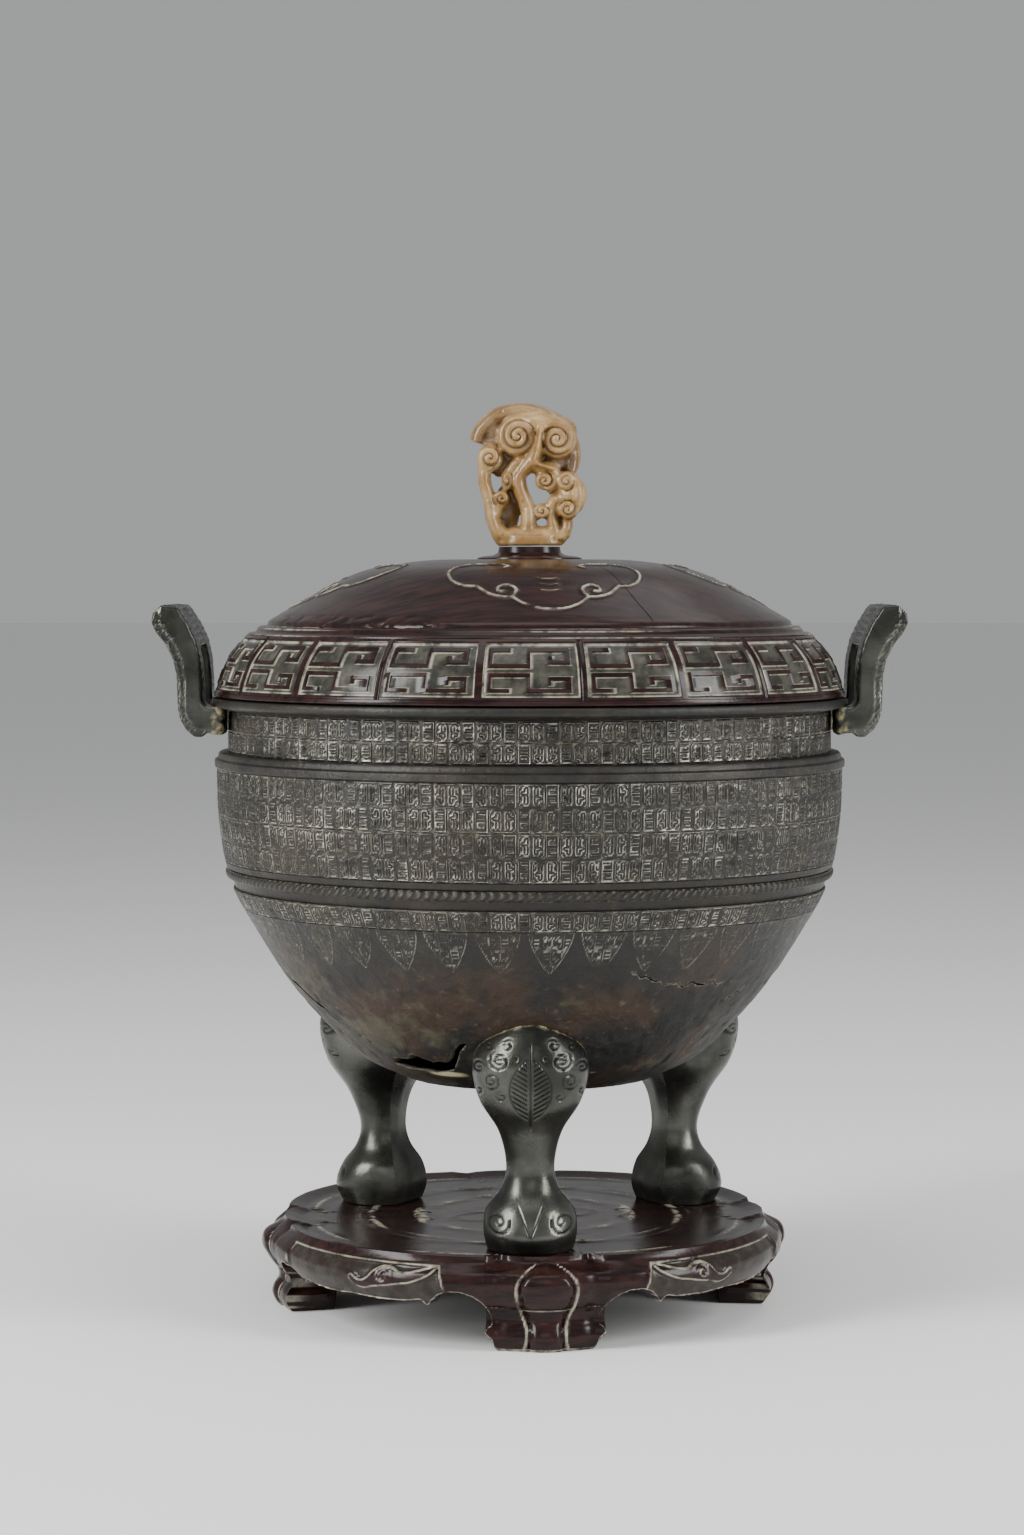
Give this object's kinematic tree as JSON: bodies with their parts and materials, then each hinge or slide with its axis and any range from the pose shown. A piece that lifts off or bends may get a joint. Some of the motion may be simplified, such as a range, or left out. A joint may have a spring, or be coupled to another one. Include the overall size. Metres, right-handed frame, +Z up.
{
  "type": "bronze ding vessel",
  "caption": "Lidded bronze tripod cauldron with two upright loop handles, a dark wood lid with a pierced stone finial, on a carved wood stand.",
  "frame": {"origin": "on the ground under the vessel's axis, at the bottom centre of the bounding box", "axes": "+Z up, +X from handle to handle, towards the right handle, -Y towards the front leg"},
  "size_m": [0.2968, 0.2536, 0.3604],
  "materials": {
    "cast_bronze": "worn dark brown cast bronze with silvery high points and ochre earth",
    "smooth_bronze": "smooth pewter-grey bronze, semi-gloss",
    "dark_wood": "polished very dark red-brown hardwood",
    "honey_stone": "polished honey-yellow stone with brown pits"
  },
  "bodies": {
    "root": {"bowl": "cast_bronze", "leg_front": "smooth_bronze", "leg_left": "smooth_bronze", "leg_right": "smooth_bronze", "handle_left": "smooth_bronze", "handle_right": "smooth_bronze", "lid": "dark_wood", "finial": "honey_stone", "stand": "dark_wood"}
  },
  "joints": []
}
